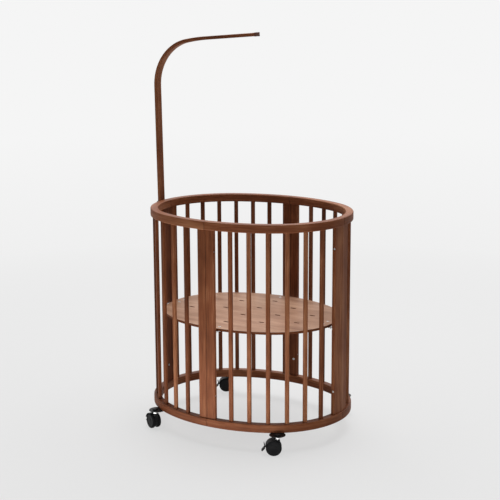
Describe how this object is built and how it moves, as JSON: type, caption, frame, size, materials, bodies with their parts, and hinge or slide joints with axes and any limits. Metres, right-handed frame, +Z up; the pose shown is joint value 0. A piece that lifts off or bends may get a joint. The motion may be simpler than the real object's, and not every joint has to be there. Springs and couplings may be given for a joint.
{
  "type": "baby crib",
  "caption": "Oval baby crib of bent rails and upright slats in walnut-stained wood, with a slotted mattress base, braked swivel casters and a bentwood drape rod",
  "frame": {"origin": "On the floor, under the middle of the oval of rails, where its long and short axes cross.", "axes": "+X along the long axis of the oval, away from the drape rod; +Y across the crib, away from the front side; +Z up."},
  "size_m": [0.8535, 0.668, 1.5521],
  "materials": {
    "stained_beech": "walnut-stained beech under a satin clear coat",
    "base_plywood": "lighter stained plywood, satin",
    "black_plastic": "moulded, fine matt grain",
    "wheel_tread": "soft black tread, slightly dusty",
    "zinc_steel": "bright zinc plating"
  },
  "bodies": {
    "crib": {"top_rail_back_right": "stained_beech", "bottom_rail_back_right": "stained_beech", "end_board_back_right": "stained_beech", "side_board_back_right": "stained_beech", "slats_back_right": "stained_beech", "caster_plate_back_right": "black_plastic", "top_rail_front_right": "stained_beech", "bottom_rail_front_right": "stained_beech", "end_board_front_right": "stained_beech", "side_board_front_right": "stained_beech", "slats_front_right": "stained_beech", "caster_plate_front_right": "black_plastic", "top_rail_back_left": "stained_beech", "bottom_rail_back_left": "stained_beech", "end_board_back_left": "stained_beech", "side_board_back_left": "stained_beech", "slats_back_left": "stained_beech", "caster_plate_back_left": "black_plastic", "top_rail_front_left": "stained_beech", "bottom_rail_front_left": "stained_beech", "end_board_front_left": "stained_beech", "side_board_front_left": "stained_beech", "slats_front_left": "stained_beech", "caster_plate_front_left": "black_plastic", "base_brackets": "zinc_steel", "bracket_screws": "zinc_steel", "lower_inserts": "zinc_steel", "panel_bolts": "zinc_steel", "panel_sleeve_nuts": "zinc_steel", "rod_holder": "black_plastic", "rod_holder_screws": "zinc_steel", "caster_screws": "zinc_steel"},
    "base": {"mattress_base": "base_plywood", "base_screws": "zinc_steel"},
    "rod": {"drape_rod": "stained_beech", "rod_tip_cap": "black_plastic"},
    "caster_back_right": {"caster_stem_back_right": "zinc_steel", "caster_hood_back_right": "black_plastic"},
    "wheels_back_right": {"caster_wheels_back_right": "wheel_tread", "caster_axle_back_right": "zinc_steel"},
    "lever_back_right": {"brake_lever_back_right": "black_plastic"},
    "caster_front_right": {"caster_stem_front_right": "zinc_steel", "caster_hood_front_right": "black_plastic"},
    "wheels_front_right": {"caster_wheels_front_right": "wheel_tread", "caster_axle_front_right": "zinc_steel"},
    "lever_front_right": {"brake_lever_front_right": "black_plastic"},
    "caster_back_left": {"caster_stem_back_left": "zinc_steel", "caster_hood_back_left": "black_plastic"},
    "wheels_back_left": {"caster_wheels_back_left": "wheel_tread", "caster_axle_back_left": "zinc_steel"},
    "lever_back_left": {"brake_lever_back_left": "black_plastic"},
    "caster_front_left": {"caster_stem_front_left": "zinc_steel", "caster_hood_front_left": "black_plastic"},
    "wheels_front_left": {"caster_wheels_front_left": "wheel_tread", "caster_axle_front_left": "zinc_steel"},
    "lever_front_left": {"brake_lever_front_left": "black_plastic"}
  },
  "joints": [
    {"name": "base_lift_out", "type": "slide", "parent": "crib", "child": "base", "axis": [0, 0, 1], "range_m": [0, 0.45]},
    {"name": "rod_lift_out", "type": "slide", "parent": "crib", "child": "rod", "axis": [-0.0162, 0, 0.9999], "range_m": [0, 0.055]},
    {"name": "swivel_back_right", "type": "hinge", "parent": "crib", "child": "caster_back_right", "pos_m": [0.28096, 0.27548, 0.0625], "axis": [0, 0, 1], "continuous": true},
    {"name": "wheel_spin_back_right", "type": "hinge", "parent": "caster_back_right", "child": "wheels_back_right", "pos_m": [0.26798, 0.28073, 0.03], "axis": [-0.3746, -0.9272, 0], "continuous": true},
    {"name": "brake_back_right", "type": "hinge", "parent": "caster_back_right", "child": "lever_back_right", "pos_m": [0.24897, 0.28841, 0.034], "axis": [-0.3746, -0.9272, 0], "range_deg": [0, 12]},
    {"name": "swivel_front_right", "type": "hinge", "parent": "crib", "child": "caster_front_right", "pos_m": [0.28096, -0.27548, 0.0625], "axis": [0, 0, 1], "continuous": true},
    {"name": "wheel_spin_front_right", "type": "hinge", "parent": "caster_front_right", "child": "wheels_front_right", "pos_m": [0.26902, -0.2828, 0.03], "axis": [0.5225, -0.8526, 0], "continuous": true},
    {"name": "brake_front_right", "type": "hinge", "parent": "caster_front_right", "child": "lever_front_right", "pos_m": [0.25154, -0.29351, 0.034], "axis": [0.5225, -0.8526, 0], "range_deg": [0, 12]},
    {"name": "swivel_back_left", "type": "hinge", "parent": "crib", "child": "caster_back_left", "pos_m": [-0.28096, 0.27548, 0.0625], "axis": [0, 0, 1], "continuous": true},
    {"name": "wheel_spin_back_left", "type": "hinge", "parent": "caster_back_left", "child": "wheels_back_left", "pos_m": [-0.2929, 0.26817, 0.03], "axis": [0.5225, -0.8526, 0], "continuous": true},
    {"name": "brake_back_left", "type": "hinge", "parent": "caster_back_left", "child": "lever_back_left", "pos_m": [-0.31037, 0.25746, 0.034], "axis": [0.5225, -0.8526, 0], "range_deg": [0, 12]},
    {"name": "swivel_front_left", "type": "hinge", "parent": "crib", "child": "caster_front_left", "pos_m": [-0.28096, -0.27548, 0.0625], "axis": [0, 0, 1], "continuous": true},
    {"name": "wheel_spin_front_left", "type": "hinge", "parent": "caster_front_left", "child": "wheels_front_left", "pos_m": [-0.29349, -0.26924, 0.03], "axis": [-0.4462, -0.8949, 0], "continuous": true},
    {"name": "brake_front_left", "type": "hinge", "parent": "caster_front_left", "child": "lever_front_left", "pos_m": [-0.31183, -0.26009, 0.034], "axis": [-0.4462, -0.8949, 0], "range_deg": [0, 12]}
  ]
}
